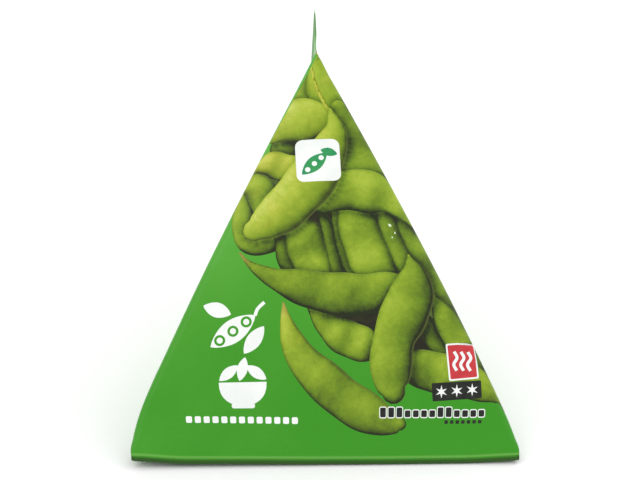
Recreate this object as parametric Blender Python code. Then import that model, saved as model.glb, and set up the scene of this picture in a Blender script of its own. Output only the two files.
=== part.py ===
"""A tetrahedral film pouch of boiled soybean pods.

A printed film web is rolled into a tube, joined along a back seam, and heat-sealed flat at each end.
The two end seals lie at right angles, so the tube closes into a tetrahedron with four equal faces. It
stands on one face, with one seal tucked under its front edge and the other running down its back edge.
The pods lie loose inside it. Metres, +Z up, front face towards -Y.
"""

import math
import random

import bmesh
import bpy
from mathutils import Vector

# The pouch
SEAL_WIDTH = 0.150  # length of each end seal, which is half the tube's girth
PANEL_HEIGHT = 0.153  # film between the two seals, which is the height of each face
SEAL_BAND = 0.021  # film beyond each seal line
FILM = 0.00015  # one layer of laminate
CORNER_RADIUS = 0.0045  # of the tube's four long edges
FACE_SWELL = 0.0045  # how far the front and side faces swell at their middle
EDGE_BOW = 0.0018  # how far the long edges bow outwards
FRONT_DRAW = 0.0040  # how far each end of the front seal is drawn in, where the pouch's corners curl
BACK_DRAW = 0.0016  # how far each end of the back seal is drawn in
DRAW_REACH = 0.045  # share of the tube's length over which both die away
SEAM_GAP = 0.0003  # between the two long edges of the web, where they meet in the back seam
SEAM_ENDS = (0.18, 0.80)  # where that gap starts and stops, as shares of the tube's length

# The seal that is tucked under the front edge
TUCK_RADIUS = 0.0012
TUCK_GAP = 0.0003  # between the tucked seal and the base face above it
TUCK_RAMP = 0.010  # length over which the base comes back down to the surface behind the tuck
TUCK_TAPER = 0.52  # how fast the tucked seal narrows to each side, because its two corners are folded in
CREASE_SOFTNESS = 0.0045  # how far behind the front edge its raised fold dies away

# Fineness of the pouch's surface
FACE_STEPS = 8  # most steps across a face, and the least length of one
FACE_STEP = 0.002
CORNER_STEPS = 3  # most steps round a corner, and the least radius for each
CORNER_STEP = 0.001
BODY_LEVELS = 20
TUCK_LEVELS = 6

# The pods: (length, beans)
POD_SORTS = ((0.058, 3), (0.052, 3), (0.044, 2))
POD_WIDTH = 0.0120
POD_THICKNESS = 0.0084
POD_BEND = 0.095  # radius of the pod's curved back
POD_STATIONS = 9
POD_SIDES = 8
LAYERS = 7
LAYER_PITCH = 0.0091
POD_GAP = 0.0008
WALL_ROOM = 0.0010  # from a pod to the flat face that the swollen film stands on
TRIES_PER_POD = 900
PACKING_SEED = 94

# Worked out from the above
AXIS_LENGTH = math.sqrt(PANEL_HEIGHT**2 - (SEAL_WIDTH / 2) ** 2)  # between the middles of the two seals
STANDING_HEIGHT = SEAL_WIDTH * AXIS_LENGTH / PANEL_HEIGHT  # of the sharp tetrahedron's apex
APEX_DEPTH = PANEL_HEIGHT - SEAL_WIDTH**2 / (2 * PANEL_HEIGHT)  # of that apex behind the front edge
LEAN = math.asin(SEAL_WIDTH / 2 / PANEL_HEIGHT)  # of the tube's axis above the surface
CREASE_HEIGHT = TUCK_RADIUS * (1 + math.cos(LEAN)) + FILM  # of the front edge above the surface
TUCK_CLEAR = 2 * FILM + TUCK_GAP  # of the base above the surface, where the tucked seal lies below it
WALL_INSET = 1.3 * FILM  # from the outer to the inner surface, across the tube

FILM_COLOUR = (0.075, 0.33, 0.035)
POD_COLOUR = (0.22, 0.36, 0.06)


def clear_scene():
    for thing in list(bpy.data.objects):
        bpy.data.objects.remove(thing)


def material(name, colour, roughness):
    made = bpy.data.materials.new(name)
    made.use_nodes = True
    surface = made.node_tree.nodes["Principled BSDF"]
    surface.inputs["Base Color"].default_value = (*colour, 1)
    surface.inputs["Roughness"].default_value = roughness
    surface.inputs["Metallic"].default_value = 0
    return made


def smooth_step(value, low, high):
    share = min(max((value - low) / (high - low), 0), 1)
    return share * share * (3 - 2 * share)


def half_sizes(share, inset):
    """Half width and half depth of the tube's section, at a share of the way along its axis."""
    bow = EDGE_BOW * math.sin(math.pi * share) + FILM - inset
    across = SEAL_WIDTH / 2 * (1 - share) - FRONT_DRAW * math.exp(-share / DRAW_REACH)
    along = SEAL_WIDTH / 2 * share - BACK_DRAW * math.exp(-(1 - share) / DRAW_REACH)
    least = 2 * FILM - inset
    return max(across + bow, least), max(along + bow, least)


def spaced(start, end):
    """Points from start towards end, without end itself."""
    (x, y), (end_x, end_y) = start, end
    steps = max(1, min(FACE_STEPS, round(math.dist(start, end) / FACE_STEP)))
    return [(x + (end_x - x) * step / steps, y + (end_y - y) * step / steps) for step in range(steps)]


def rounded_spans(half_x, half_y, radius):
    """A rounded rectangle in five spans, from one side of the seam round to the other.

    The seam is at the middle of the +y side. Each span ends where a corner starts, and the next begins there.
    """
    corners = (
        (half_x - radius, half_y - radius, math.pi / 2),
        (half_x - radius, radius - half_y, 0),
        (radius - half_x, radius - half_y, -math.pi / 2),
        (radius - half_x, half_y - radius, -math.pi),
    )
    steps = max(1, min(CORNER_STEPS, round(radius / CORNER_STEP)))
    arcs = []
    for x, y, start in corners:
        turns = [start - math.pi / 2 * step / steps for step in range(steps + 1)]
        arcs.append([(x + radius * math.cos(turn), y + radius * math.sin(turn)) for turn in turns])
    seam_start, seam_end = (SEAM_GAP / 2, half_y), (-SEAM_GAP / 2, half_y)
    spans = [spaced(seam_start, arcs[0][0]) + [arcs[0][0]]]
    for arc, following in zip(arcs, arcs[1:]):
        spans.append(arc[:-1] + spaced(arc[-1], following[0]) + [following[0]])
    spans.append(arcs[-1][:-1] + spaced(arcs[-1][-1], seam_end) + [seam_end])
    return spans


def swollen(x, y, half_x, half_y, share):
    """Moves a point of the section outwards, most at the middle of each face."""
    swell = FACE_SWELL * math.sin(math.pi * share) ** 1.5
    across, along = x / half_x, y / half_y
    return x + swell * across * (1 - along * along), y + swell * along * (1 - across * across)


def stood_up(x, y, along):
    """From the tube's frame, with its axis along the third value, to the pouch standing on its base face."""
    depth = y * math.sin(LEAN) + along * math.cos(LEAN)
    height = along * math.sin(LEAN) - y * math.cos(LEAN)
    return x, depth, height


def rested(point, inset):
    """Sets the base face on the surface, clear of the tucked seal below its front part."""
    x, depth, height = point
    tuck_end = SEAL_BAND - (math.pi - LEAN) * TUCK_RADIUS
    fold = math.exp(-((depth / CREASE_SOFTNESS) ** 2))
    floor = TUCK_CLEAR * (1 - smooth_step(depth, tuck_end + 0.001, tuck_end + TUCK_RAMP))
    floor += (CREASE_HEIGHT - TUCK_CLEAR - FILM) * fold
    lifted = height + CREASE_HEIGHT * fold * math.exp(-((height / (3 * CREASE_SOFTNESS)) ** 2))
    return Vector((x, depth, max(lifted, floor + inset)))


def placed(spans, place):
    return [[Vector(place(x, y)) for x, y in span] for span in spans]


def body_ring(share, inset):
    half_x, half_y = half_sizes(share, inset)
    radius = min(CORNER_RADIUS, half_x * 0.6, half_y * 0.6)

    def place(x, y):
        x, y = swollen(x, y, half_x, half_y, share)
        return rested(stood_up(x, y, share * AXIS_LENGTH), inset)

    return placed(rounded_spans(half_x, half_y, radius), place)


def tuck_ring(run):
    """The tucked seal, run metres past the seal line: down round the front edge, then back below the base."""
    bend = min(run / TUCK_RADIUS, math.pi - LEAN)
    start = math.pi + LEAN
    heading = start + bend
    depth = TUCK_RADIUS * (math.sin(heading) - math.sin(start)) + run - bend * TUCK_RADIUS
    height = CREASE_HEIGHT - TUCK_RADIUS * (math.cos(heading) - math.cos(start))
    half_width = SEAL_WIDTH / 2 - FRONT_DRAW
    narrowing = 1 - TUCK_TAPER * (run - bend * TUCK_RADIUS) / half_width

    def place(x, y):
        return x * narrowing, depth + y * math.sin(heading), height - y * math.cos(heading)

    return placed(rounded_spans(half_width, FILM, FILM * 0.6), place)


def back_seal_ring(run):
    """The seal down the back edge, run metres past its seal line."""
    section = rounded_spans(FILM, SEAL_WIDTH / 2 - BACK_DRAW, FILM * 0.6)
    return placed(section, lambda x, y: stood_up(x, y, AXIS_LENGTH + run))


def ring_of(form, spans):
    """The ring's vertices, span by span. Each span starts with the last vertex of the one before."""
    made = []
    for span in spans:
        first = made[-1][-1] if made else form.verts.new(span[0])
        made.append([first] + [form.verts.new(point) for point in span[1:]])
    return made


def stitch(form, lower, upper):
    """Faces between two spans, which may have different numbers of points."""
    low, up = 0, 0
    while low < len(lower) - 1 or up < len(upper) - 1:
        lead = (low + 1) * (len(upper) - 1) - (up + 1) * (len(lower) - 1)
        if lead == 0:
            form.faces.new((lower[low], lower[low + 1], upper[up + 1], upper[up]))
            low, up = low + 1, up + 1
        elif lead < 0:
            form.faces.new((lower[low], lower[low + 1], upper[up]))
            low += 1
        else:
            form.faces.new((lower[low], upper[up + 1], upper[up]))
            up += 1


def lofted(form, rings, slit_levels):
    """Faces through rings of points, leaving out the strip beside the seam between two levels."""
    rows = [ring_of(form, spans) for spans in rings]
    for level, (lower, upper) in enumerate(zip(rows, rows[1:])):
        for low_span, up_span in zip(lower, upper):
            stitch(form, low_span, up_span)
        if not slit_levels[0] <= level < slit_levels[1]:
            form.faces.new((lower[-1][-1], lower[0][0], upper[0][0], upper[-1][-1]))
    caps = [form.faces.new(list(reversed(around(rows[0])))), form.faces.new(around(rows[-1]))]
    bmesh.ops.poke(form, faces=caps)
    return rows


def around(ring):
    return ring[0] + [vertex for span in ring[1:] for vertex in span[1:]]


def new_object(name, form):
    bmesh.ops.recalc_face_normals(form, faces=form.faces)
    if form.calc_volume(signed=True) < 0:
        bmesh.ops.reverse_faces(form, faces=form.faces)
    mesh = bpy.data.meshes.new(name)
    form.to_mesh(mesh)
    form.free()
    mesh.shade_smooth()
    mesh.set_sharp_from_angle(angle=math.radians(35))
    made = bpy.data.objects.new(name, mesh)
    bpy.context.scene.collection.objects.link(made)
    return made


def body_shares():
    """Levels up the tube, closer together near the two seals, where the section changes fastest."""
    return [(1 - math.cos(math.pi * step / BODY_LEVELS)) / 2 for step in range(1, BODY_LEVELS)]


def film_pouch():
    """One wall all round: an outer and an inner skin, joined to each other only at the seam's two edges."""
    form = bmesh.new()
    shares = body_shares()
    turn_end = (math.pi - LEAN) * TUCK_RADIUS
    tuck_runs = [turn_end * step / TUCK_LEVELS for step in range(TUCK_LEVELS + 1)] + [SEAL_BAND]
    tuck = [tuck_ring(run) for run in reversed(tuck_runs)]
    back_seal = [back_seal_ring(run) for run in (0, SEAL_BAND)]
    first = next(index for index, share in enumerate(shares) if share > SEAM_ENDS[0])
    last = max(index for index, share in enumerate(shares) if share < SEAM_ENDS[1])
    below = len(tuck)
    outer_rings = tuck + [body_ring(share, 0) for share in shares] + back_seal
    inner_rings = [body_ring(share, WALL_INSET) for share in shares]
    outer = lofted(form, outer_rings, (first + below, last + below))
    inner = lofted(form, inner_rings, (first, last))
    outer_body = outer[below : below + len(shares)]
    pairs = list(zip(outer_body, inner))[first : last + 1]
    right, left = ([(out[side][side], within[side][side]) for out, within in pairs] for side in (0, -1))
    rim = right + left[::-1]
    for (outside, within), (next_outside, next_within) in zip(rim, rim[1:] + rim[:1]):
        form.faces.new((outside, next_outside, next_within, within))
    pouch = new_object("film_pouch", form)
    pouch.data.materials.append(material("printed_film", FILM_COLOUR, 0.4))
    return pouch


def pod_mesh(length, beans):
    """A flat pod, curved along its length and swollen at each bean, with a short stalk and a tip."""
    form = bmesh.new()
    rings = []
    for station in range(POD_STATIONS):
        share = (1 - math.cos(math.pi * (station + 0.4) / (POD_STATIONS - 0.2))) / 2
        body = math.sin(math.pi * share) ** 0.55
        bean = 0.88 + 0.12 * math.cos(2 * math.pi * beans * (share - 0.5) + math.pi * (beans + 1))
        half_width = POD_WIDTH / 2 * body
        half_thick = POD_THICKNESS / 2 * body * bean
        angle = (share - 0.5) * length / POD_BEND
        ring = []
        for side in range(POD_SIDES):
            turn = 2 * math.pi * side / POD_SIDES
            radius = POD_BEND + half_width * math.cos(turn)
            y = radius * math.cos(angle) - POD_BEND
            ring.append(Vector((radius * math.sin(angle), y, half_thick * math.sin(turn))))
        rings.append([ring])
    lofted(form, rings, (0, 0))
    return form


def pod_line(place):
    """Points along the middle of a pod that lies at (x, depth, turn, length)."""
    x, depth, turn, length = place
    line = []
    for step in range(7):
        angle = (step / 6 - 0.5) * (length - POD_WIDTH * 0.6) / POD_BEND
        along, aside = POD_BEND * math.sin(angle), POD_BEND * (math.cos(angle) - 1)
        line.append(Vector((
            x + along * math.cos(turn) - aside * math.sin(turn),
            depth + along * math.sin(turn) + aside * math.cos(turn),
        )))
    return line


def inside(line, height):
    """True where a pod at this height keeps clear of the film on all three sides."""
    rise = (height + POD_THICKNESS / 2) / STANDING_HEIGHT
    front = APEX_DEPTH * rise
    back = PANEL_HEIGHT + (APEX_DEPTH - PANEL_HEIGHT) * rise
    half_width = SEAL_WIDTH / 2 * (1 - rise)
    room = POD_WIDTH / 2 + WALL_ROOM
    side = Vector((back - front, half_width)).normalized()
    for point in line:
        to_side = (half_width - abs(point.x)) * side.x - (point.y - front) * side.y
        if point.y - front < room or to_side < room:
            return False
    return True


def clear_of(line, others):
    apart = POD_WIDTH + POD_GAP
    return all((point - other).length > apart for near in others for other in near for point in line)


def place_tried(draw, height, lines):
    """A pod at a random place in this layer, or None where there is no room for it."""
    sort = draw.choice(POD_SORTS)
    depth = draw.uniform(0, PANEL_HEIGHT)
    place = (draw.uniform(-0.5, 0.5) * SEAL_WIDTH, depth, draw.uniform(-math.pi, math.pi), sort[0])
    line = pod_line(place)
    if inside(line, height) and clear_of(line, lines):
        return sum(point.y for point in line), place, line, sort
    return None


def pod_places():
    """Where the pods lie: layer on layer, each in the front-most of the places tried for it."""
    draw = random.Random(PACKING_SEED)
    places = []
    for layer in range(LAYERS):
        height = TUCK_CLEAR + WALL_INSET + 0.001 + POD_THICKNESS / 2 + layer * LAYER_PITCH
        lines = []
        while True:
            tried = [place_tried(draw, height, lines) for attempt in range(TRIES_PER_POD)]
            found = [row for row in tried if row]
            if not found:
                break
            _, place, line, sort = min(found, key=lambda row: row[0])
            lines.append(line)
            places.append((place, height, sort))
    return places


def pods():
    skin = material("pod_skin", POD_COLOUR, 0.45)
    made = []
    for (x, depth, turn, _), height, sort in pod_places():
        pod = new_object(f"pod_{len(made) + 1:02d}", pod_mesh(*sort))
        pod.data.materials.append(skin)
        pod.location = (x, depth, height)
        pod.rotation_euler = (0, 0, turn)
        made.append(pod)
    return made


def centred(pouch, contents):
    """Moves everything so that the origin is below the middle of the pouch."""
    depths = [vertex.co.y for vertex in pouch.data.vertices]
    middle = (min(depths) + max(depths)) / 2
    for thing in (pouch, *contents):
        thing.location.y -= middle


def main():
    clear_scene()
    centred(film_pouch(), pods())


main()
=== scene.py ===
# %% [markdown]
# # A tetrahedral pouch of soybean pods
# The pouch is one web of printed film, rolled into a tube and sealed flat at each end. The two end seals
# lie at right angles, so the tube closes into a tetrahedron. It stands on one face, with its printed face
# leaning back. This lesson draws the print on the flat web, and then folds the web into the pouch.

# %% The fixed frame
import math

import bmesh
import bpy
import numpy as np
from mathutils import Matrix, Vector
from mathutils.geometry import delaunay_2d_cdt


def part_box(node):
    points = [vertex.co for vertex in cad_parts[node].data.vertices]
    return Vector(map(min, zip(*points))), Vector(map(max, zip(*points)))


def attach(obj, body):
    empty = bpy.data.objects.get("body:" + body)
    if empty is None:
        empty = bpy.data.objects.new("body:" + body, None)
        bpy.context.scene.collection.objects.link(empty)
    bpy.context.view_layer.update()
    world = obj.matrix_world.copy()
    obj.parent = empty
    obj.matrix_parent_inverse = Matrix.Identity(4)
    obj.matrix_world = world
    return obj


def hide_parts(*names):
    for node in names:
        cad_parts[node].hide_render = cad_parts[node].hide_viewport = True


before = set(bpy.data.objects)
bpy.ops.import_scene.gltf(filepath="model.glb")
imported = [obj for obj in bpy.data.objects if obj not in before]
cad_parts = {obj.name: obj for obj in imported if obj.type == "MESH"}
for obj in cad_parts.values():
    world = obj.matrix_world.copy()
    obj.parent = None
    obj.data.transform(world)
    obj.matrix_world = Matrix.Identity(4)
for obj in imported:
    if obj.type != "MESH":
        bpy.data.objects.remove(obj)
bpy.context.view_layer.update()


scene = bpy.context.scene


def added(name, data):
    thing = bpy.data.objects.new(name, data)
    scene.collection.objects.link(thing)
    return thing


# %% [markdown]
# ## The pouch's sizes
# Everything follows from the flat web. Lengths are in metres. The frame's box says where the pouch stands.

# %% Sizes of the web, and where the pouch stands
SEAL = 0.150  # length of each end seal, which is half the web's width
PANEL = 0.153  # film between the two seal lines
BAND = 0.021  # film beyond each seal line
LAYER = 0.00015  # one layer of laminate
AXIS = math.sqrt(PANEL**2 - (SEAL / 2) ** 2)  # the tube's length once it is folded
LEAN = math.asin(SEAL / 2 / PANEL)  # of the tube's axis above the table
TUCK_RADIUS = 0.0012  # of the fold that takes the front seal under the pouch
TUCK_TAPER = 0.52  # the tucked seal narrows, because its corners are folded in
TUCK_CLEARANCE = 0.0003  # between the tucked seal and the base film above it
CREASE_HEIGHT = TUCK_RADIUS * (1 + math.cos(LEAN)) + LAYER
BASE_LIFT = 0.00045  # of the base film, over the back seam
FRONT_DRAW, BACK_DRAW = 0.0040, 0.0016  # how far each seal's ends curl in
film_low, film_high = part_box("film_pouch")
BACK_REACH = (SEAL / 2 - BACK_DRAW) * math.sin(LEAN) + (AXIS + BAND) * math.cos(LEAN)  # to its far end
FRONT_LINE = film_high.y - BACK_REACH  # where the front seal line is, along Y
print("front seal line at y =", round(FRONT_LINE, 4), "apex near z =", round(film_high.z, 4))

# %% [markdown]
# ## Folding the web
# A point of the web is named by two lengths: s, round the tube from the middle of the printed face, and
# v, along the tube from the front seal line. A cross-section of the pouch is a rectangle with round
# corners, wide and flat at one seal, tall and thin at the other, and its girth never changes. So a
# formula can carry every point of the flat web to its place, and it keeps the print exact.

# %% The tube's cross-section
CORNER_RADIUS = 0.0028  # of the tube's four long edges
FACE_SWELL = 0.0042  # how far each face swells at its middle
EDGE_BOW = 0.0015  # how far the long edges bow outwards
DRAW_REACH = 0.045  # share of the tube's length over which that curl dies away
TINY = 1e-9  # keeps divisions finite


def half_sizes(t):
    bow = EDGE_BOW * np.sin(np.pi * t) + LAYER
    across = SEAL / 2 * (1 - t) - FRONT_DRAW * np.exp(-t / DRAW_REACH) + bow
    along = SEAL / 2 * t - BACK_DRAW * np.exp(-(1 - t) / DRAW_REACH) + bow
    return np.maximum(across, LAYER), np.maximum(along, LAYER)


def section_place(s, t):
    """(x, y) in the tube's section, for a length s round it. The printed face is at -y."""
    half_x, half_y = half_sizes(t)
    radius = np.minimum(CORNER_RADIUS, np.minimum(half_x, half_y) * 0.6)
    quarter = np.pi * radius / 2
    flat_x, flat_y = half_x - radius, half_y - radius
    run, front, side = np.abs(s), SEAL / 2 * (1 - t), SEAL / 2 * (1 + t)
    to_front, to_side = flat_x + quarter / 2, flat_x + 1.5 * quarter + 2 * flat_y
    whole = 2 * flat_x + 2 * quarter + 2 * flat_y
    path = np.where(
        run <= front,
        to_front * run / np.maximum(front, TINY),
        np.where(
            run <= side,
            to_front + (to_side - to_front) * (run - front) / np.maximum(side - front, TINY),
            to_side + (whole - to_side) * (run - side) / np.maximum(SEAL - side, TINY),
        ),
    )
    ends = np.cumsum([flat_x, quarter, 2 * flat_y, quarter], axis=0)
    near, far = (path - ends[0]) / radius, (path - ends[2]) / radius
    which = [path < ends[0], path < ends[1], path < ends[2], path < ends[3]]
    x = np.select(
        which, [path, flat_x + radius * np.sin(near), half_x, flat_x + radius * np.cos(far)], whole - path
    )
    y = np.select(
        which,
        [-half_y, -flat_y - radius * np.cos(near), -flat_y + path - ends[1], flat_y + radius * np.sin(far)],
        half_y,
    )
    x = x * np.sign(s)
    swell = FACE_SWELL * np.sin(np.pi * t) ** 1.5
    share_x, share_y = x / half_x, y / half_y
    return x + swell * share_x * (1 - share_y**2), y + swell * share_y * (1 - share_x**2)


# %% Standing the tube on its base face
CREASE_REACH, CREASE_RISE = 0.0045, 0.0135  # the front crease's reach, back and up
RAMP_START, RAMP_END = 0.001, 0.010  # behind the tucked seal, where the base comes down


def eased(value, low, high):
    share = np.clip((value - low) / (high - low), 0, 1)
    return share * share * (3 - 2 * share)


def fading(value, reach):
    return np.exp(-((value / reach) ** 2))


def stood_up(x, y, along):
    depth = y * math.sin(LEAN) + along * math.cos(LEAN)
    height = along * math.sin(LEAN) - y * math.cos(LEAN)
    return x, depth, height


def rested(x, depth, height):
    """Sets the base on the table, and lifts its front over the tucked seal."""
    tuck_end = BAND - (math.pi - LEAN) * TUCK_RADIUS
    over_tuck = 2 * LAYER + TUCK_CLEARANCE
    fold = fading(depth, CREASE_REACH)
    ramp = 1 - eased(depth, tuck_end + RAMP_START, tuck_end + RAMP_END)
    floor = np.maximum(over_tuck * ramp, BASE_LIFT) + (CREASE_HEIGHT - over_tuck - LAYER) * fold
    lifted = height + CREASE_HEIGHT * fold * fading(height, CREASE_RISE)
    return x, depth, np.maximum(lifted, floor)


def tucked(x, y, run):
    """The front seal, run past its seal line: down round the front edge, then back below the base."""
    start = math.pi + LEAN
    bend = np.minimum(run / TUCK_RADIUS, math.pi - LEAN)
    heading = start + bend
    depth = TUCK_RADIUS * (np.sin(heading) - math.sin(start)) + run - bend * TUCK_RADIUS
    height = CREASE_HEIGHT - TUCK_RADIUS * (np.cos(heading) - math.cos(start))
    half_width = SEAL / 2 - FRONT_DRAW
    narrowing = 1 - TUCK_TAPER * (run - bend * TUCK_RADIUS) / half_width
    return x * narrowing, depth + y * np.sin(heading), height - y * np.cos(heading)


# %% The cut ends, the front corners and the whole fold
TOOTH_PITCH, TOOTH_DEPTH = 0.003, 0.0008
CUT_CLOSING = 0.0002  # the layers come together over this length
CORNER_DEPTH = 0.024  # how far back a front corner's lift and curl reach
LIFT_RISE, CURL_RISE, LEFT_CURL = 0.030, 0.014, 0.0021


def tooth(s):
    """How far the knife's teeth cut into the band at s."""
    return TOOTH_DEPTH * np.abs((s / TOOTH_PITCH + 0.5) % 1 - 0.5) * 2


def corner_lift(x, depth, height):
    """The front corners stand a little off the table, the left one more."""
    left = 0.0012 * eased(-x, -0.03, 0.07) + 0.0014 * eased(-x, 0.048, 0.074)
    right = 0.0008 * eased(x, 0.050, 0.074)
    return (left + right) * fading(depth, CORNER_DEPTH) * fading(height, LIFT_RISE)


def corner_curl(x, depth, height):
    """The left front corner curls in."""
    return LEFT_CURL * eased(-x, 0.050, 0.071) * fading(depth, CORNER_DEPTH) * fading(height, CURL_RISE)


def film_place(s, v):
    """Where points of the flat web lie on the standing pouch."""
    s, v = np.asarray(s, float), np.asarray(v, float)
    t = np.clip(v / PANEL, 0, 1)
    x, y = section_place(s, t)
    end = BAND - tooth(s)
    cut = eased(np.maximum(-v, v - PANEL), end - CUT_CLOSING, end - 1e-7)
    x = np.where(v > PANEL, x * (1 - cut), x)
    y = np.where(v < 0, y * (1 - cut), y)
    body = np.stack(rested(*stood_up(x, y, t * AXIS)), -1)
    back = np.stack(stood_up(x, y, AXIS + v - PANEL), -1)
    front = np.stack(tucked(x, y, -v), -1)
    place = np.where((v < 0)[..., None], front, np.where((v > PANEL)[..., None], back, body))
    x, depth, height = place[..., 0], place[..., 1], place[..., 2]
    curl, lift = corner_curl(x, depth, height), corner_lift(x, depth, height)
    return place + np.stack([curl, np.full(curl.shape, FRONT_LINE), lift], -1)


apex = film_place(0.0, PANEL)
print("apex of the printed face:", np.round(apex, 4))

# %% [markdown]
# ## The printed picture: where the pods lie
# The face is printed with a heap of pods, and one more that lies apart. Each pod is given as its number of
# beans, the lightness of its green, and a spine with a width at each point: (s, v, width), in millimetres
# on the flat web. A pod that comes later in the list covers those before it.

# %% The pods of the picture
PODS = {
    "top_left": (1, 0.60, [(-4, 151, 4), (-4, 143, 13), (-4, 134, 15), (-8, 127, 8)]),
    "top_right": (1, 0.68, [(-1, 152, 4), (1.5, 146, 11), (4.5, 137, 17), (8, 129, 15), (11, 120, 8)]),
    "back_left": (1, 0.36, [(-13, 123, 4), (-12, 115, 10), (-13, 106, 8)]),
    "upper_left": (2, 0.88, [(-22, 108, 5), (-17, 108.5, 10), (-12, 106.5, 11), (-4, 104, 10)]),
    "left_round": (2, 0.74, [(-26, 106, 5), (-21, 98, 12), (-17.5, 88.5, 11), (-16.5, 82, 4)]),
    "left_low": (2, 0.52, [(-27.5, 98, 3), (-26.8, 88, 8.5), (-24.5, 80, 10.5), (-18, 78.5, 8), (-12, 80, 5)]),
    "round_top": (1, 0.82, [(-15, 122, 11), (-9, 124.5, 17), (-3, 125, 16.5), (4, 124, 11)]),
    "edge_pod": (3, 0.42, [(8, 130, 7), (12, 119, 17), (17, 108, 20), (25, 96.5, 15), (35, 82, 6)]),
    "under_left": (1, 0.25, [(-14.5, 80, 4), (-11, 74, 10), (-6, 65, 11)]),
    "under_mid": (2, 0.53, [(-9, 85, 10), (-4, 77, 16.5), (0, 68, 16.5), (2.5, 61, 7)]),
    "narrow_a": (1, 0.20, [(0.5, 89, 3), (4.5, 78, 6), (7, 67, 6.5), (8, 59, 4)]),
    "narrow_b": (1, 0.30, [(5.5, 90, 4), (9, 78, 7), (12.5, 67.5, 7.5), (14, 59, 4)]),
    "mottled": (2, 0.62, [(9, 94, 8), (14.5, 83, 16), (19, 72, 18), (22, 61, 11)]),
    "glint_pod": (2, 0.40, [(20, 94, 3), (26, 82.5, 8.5), (31, 71, 8.5), (34, 62, 4)]),
    "edge_low": (3, 0.36, [(27, 95, 4), (34, 82, 10.5), (41, 69, 11), (47, 55, 5)]),
    "right_b": (3, 0.62, [(1, 91.5, 7), (9, 97, 15.5), (18, 97.5, 16.5), (26, 95.5, 12.5), (34, 88, 5)]),
    "light_stem": (1, 1.10, [(-2, 146, 1.0), (-0.8, 140, 1.1), (1.3, 134, 1.3), (4.4, 128, 1.8)]),
    "big_light": (3, 0.78, [
        (4.5, 129, 1.5), (6, 121, 8), (2.5, 111, 14.5), (-4, 100, 18), (-12, 91, 17), (-18, 86.5, 14),
        (-21.5, 84.3, 11), (-22.8, 83.6, 9),
    ]),
    "belly": (3, 0.62, [
        (-4.5, 54.5, 1.5), (1, 49, 8), (6.5, 45, 12), (12, 42.5, 13), (17, 41, 11), (20.5, 40.5, 7),
    ]),
    "long_c": (4, 0.36, [
        (-28.5, 75.5, 0.6), (-26.5, 72.5, 1.4), (-24, 70, 3), (-21, 67.8, 5), (-16, 65, 8),
        (-7.5, 62, 12.5), (3, 59.5, 15), (14, 59, 15), (25, 61, 13), (33, 63, 7),
    ]),
    "low_edge": (2, 0.25, [(50, 48, 4), (55, 37, 10), (60, 29, 9), (63, 23, 4)]),
    "small_b": (2, 0.22, [(36, 54, 2), (40, 46, 7.5), (44, 38, 8), (47, 31, 3)]),
    "right_up": (2, 0.50, [(40.5, 59, 3), (44.5, 52, 9), (50, 43, 11), (56, 32, 7)]),
    "right_low": (3, 0.48, [
        (27, 36, 5), (33, 34, 12), (41, 32, 15), (50, 30, 14), (59.5, 26.5, 10.5), (66.5, 22.8, 4),
    ]),
    "s_pod": (3, 0.47, [
        (31.5, 74, 1.5), (33, 68, 9.5), (32.5, 60, 16.5), (29.5, 52, 17), (26.5, 45, 15.5),
        (25, 37.5, 15.5), (25, 30.5, 14), (25.3, 27, 12), (25.8, 25.2, 9),
    ]),
    "loose": (3, 0.41, [
        (-13.5, 56.5, 0.5), (-12.7, 50.5, 4), (-10.5, 43, 8.5), (-6.5, 36, 12), (0, 29.5, 14),
        (7, 23.5, 15), (14, 19, 15), (21, 15.5, 12), (26.5, 14, 8.5), (28.2, 13.8, 5),
    ]),
}
HEAP = [  # the heap's outline, filled behind its pods
    (2, 152), (-8, 138), (-15, 128), (-17, 113), (-22, 108), (-26, 101), (-28, 90), (-27, 80), (-21, 77),
    (-16, 78), (-15, 71), (-7, 66), (-4, 55), (0, 49), (8, 42), (17, 37.5), (24, 36), (31, 46), (31, 33),
    (42, 26), (60, 24), (72, 16), (60, 40), (50, 60), (38, 84), (20, 118), (8, 144),
]
GLOW = {"loose": 0.50, "long_c": 0.14, "left_low": 0.12}  # pods that are paler towards their first point
DEEP_GAPS = [
    [(-4, 93), (9, 93), (7, 84), (1, 82), (-4, 86)],
    [(3, 55), (25, 56), (25, 42), (12, 44), (5, 49)],
    [(31, 47), (46, 46), (45, 35), (33, 34)],
]
print(len(PODS) - 1, "pods and one stalk in the picture")

# %% [markdown]
# ## From a spine to an outline
# A smooth curve through each spine, widened to both sides, gives the pod's outline. The width swells a
# little at each bean, as a real pod's does.

# %% Outlines of the printed pods
OUTLINE_STEP = 0.7  # millimetres: least step along an outline
BEAN_SWELL = 0.035  # share of its width that a pod gains at each bean
LEAST_HALF = 0.25  # millimetres


def smooth_run(points, pieces=7):
    """A Catmull-Rom curve through rows of numbers."""
    rows = np.array(points, float)
    rows = np.vstack([2 * rows[0] - rows[1], rows, 2 * rows[-1] - rows[-2]])
    share = np.linspace(0, 1, pieces, endpoint=False)[:, None]
    run = []
    for a, b, c, d in zip(rows, rows[1:], rows[2:], rows[3:]):
        curved = (2 * a - 5 * b + 4 * c - d) * share**2 + (3 * b - a - 3 * c + d) * share**3
        run.append((2 * b + (c - a) * share + curved) / 2)
    return np.vstack(run + [rows[-2:-1]])


def unit(rows):
    """The rows as unit vectors."""
    return rows / np.maximum(np.linalg.norm(rows, axis=-1, keepdims=True), TINY)


def ways_along(run):
    """Unit vectors along a curve, and to its left."""
    heading = unit(np.gradient(run, axis=0))
    return heading, np.stack([-heading[:, 1], heading[:, 0]], 1)


def nearest_gap(points, others):
    """Each point's distance to the nearest of the others."""
    return np.sqrt(((points[:, None] - others[None]) ** 2).sum(2).min(1))


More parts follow.
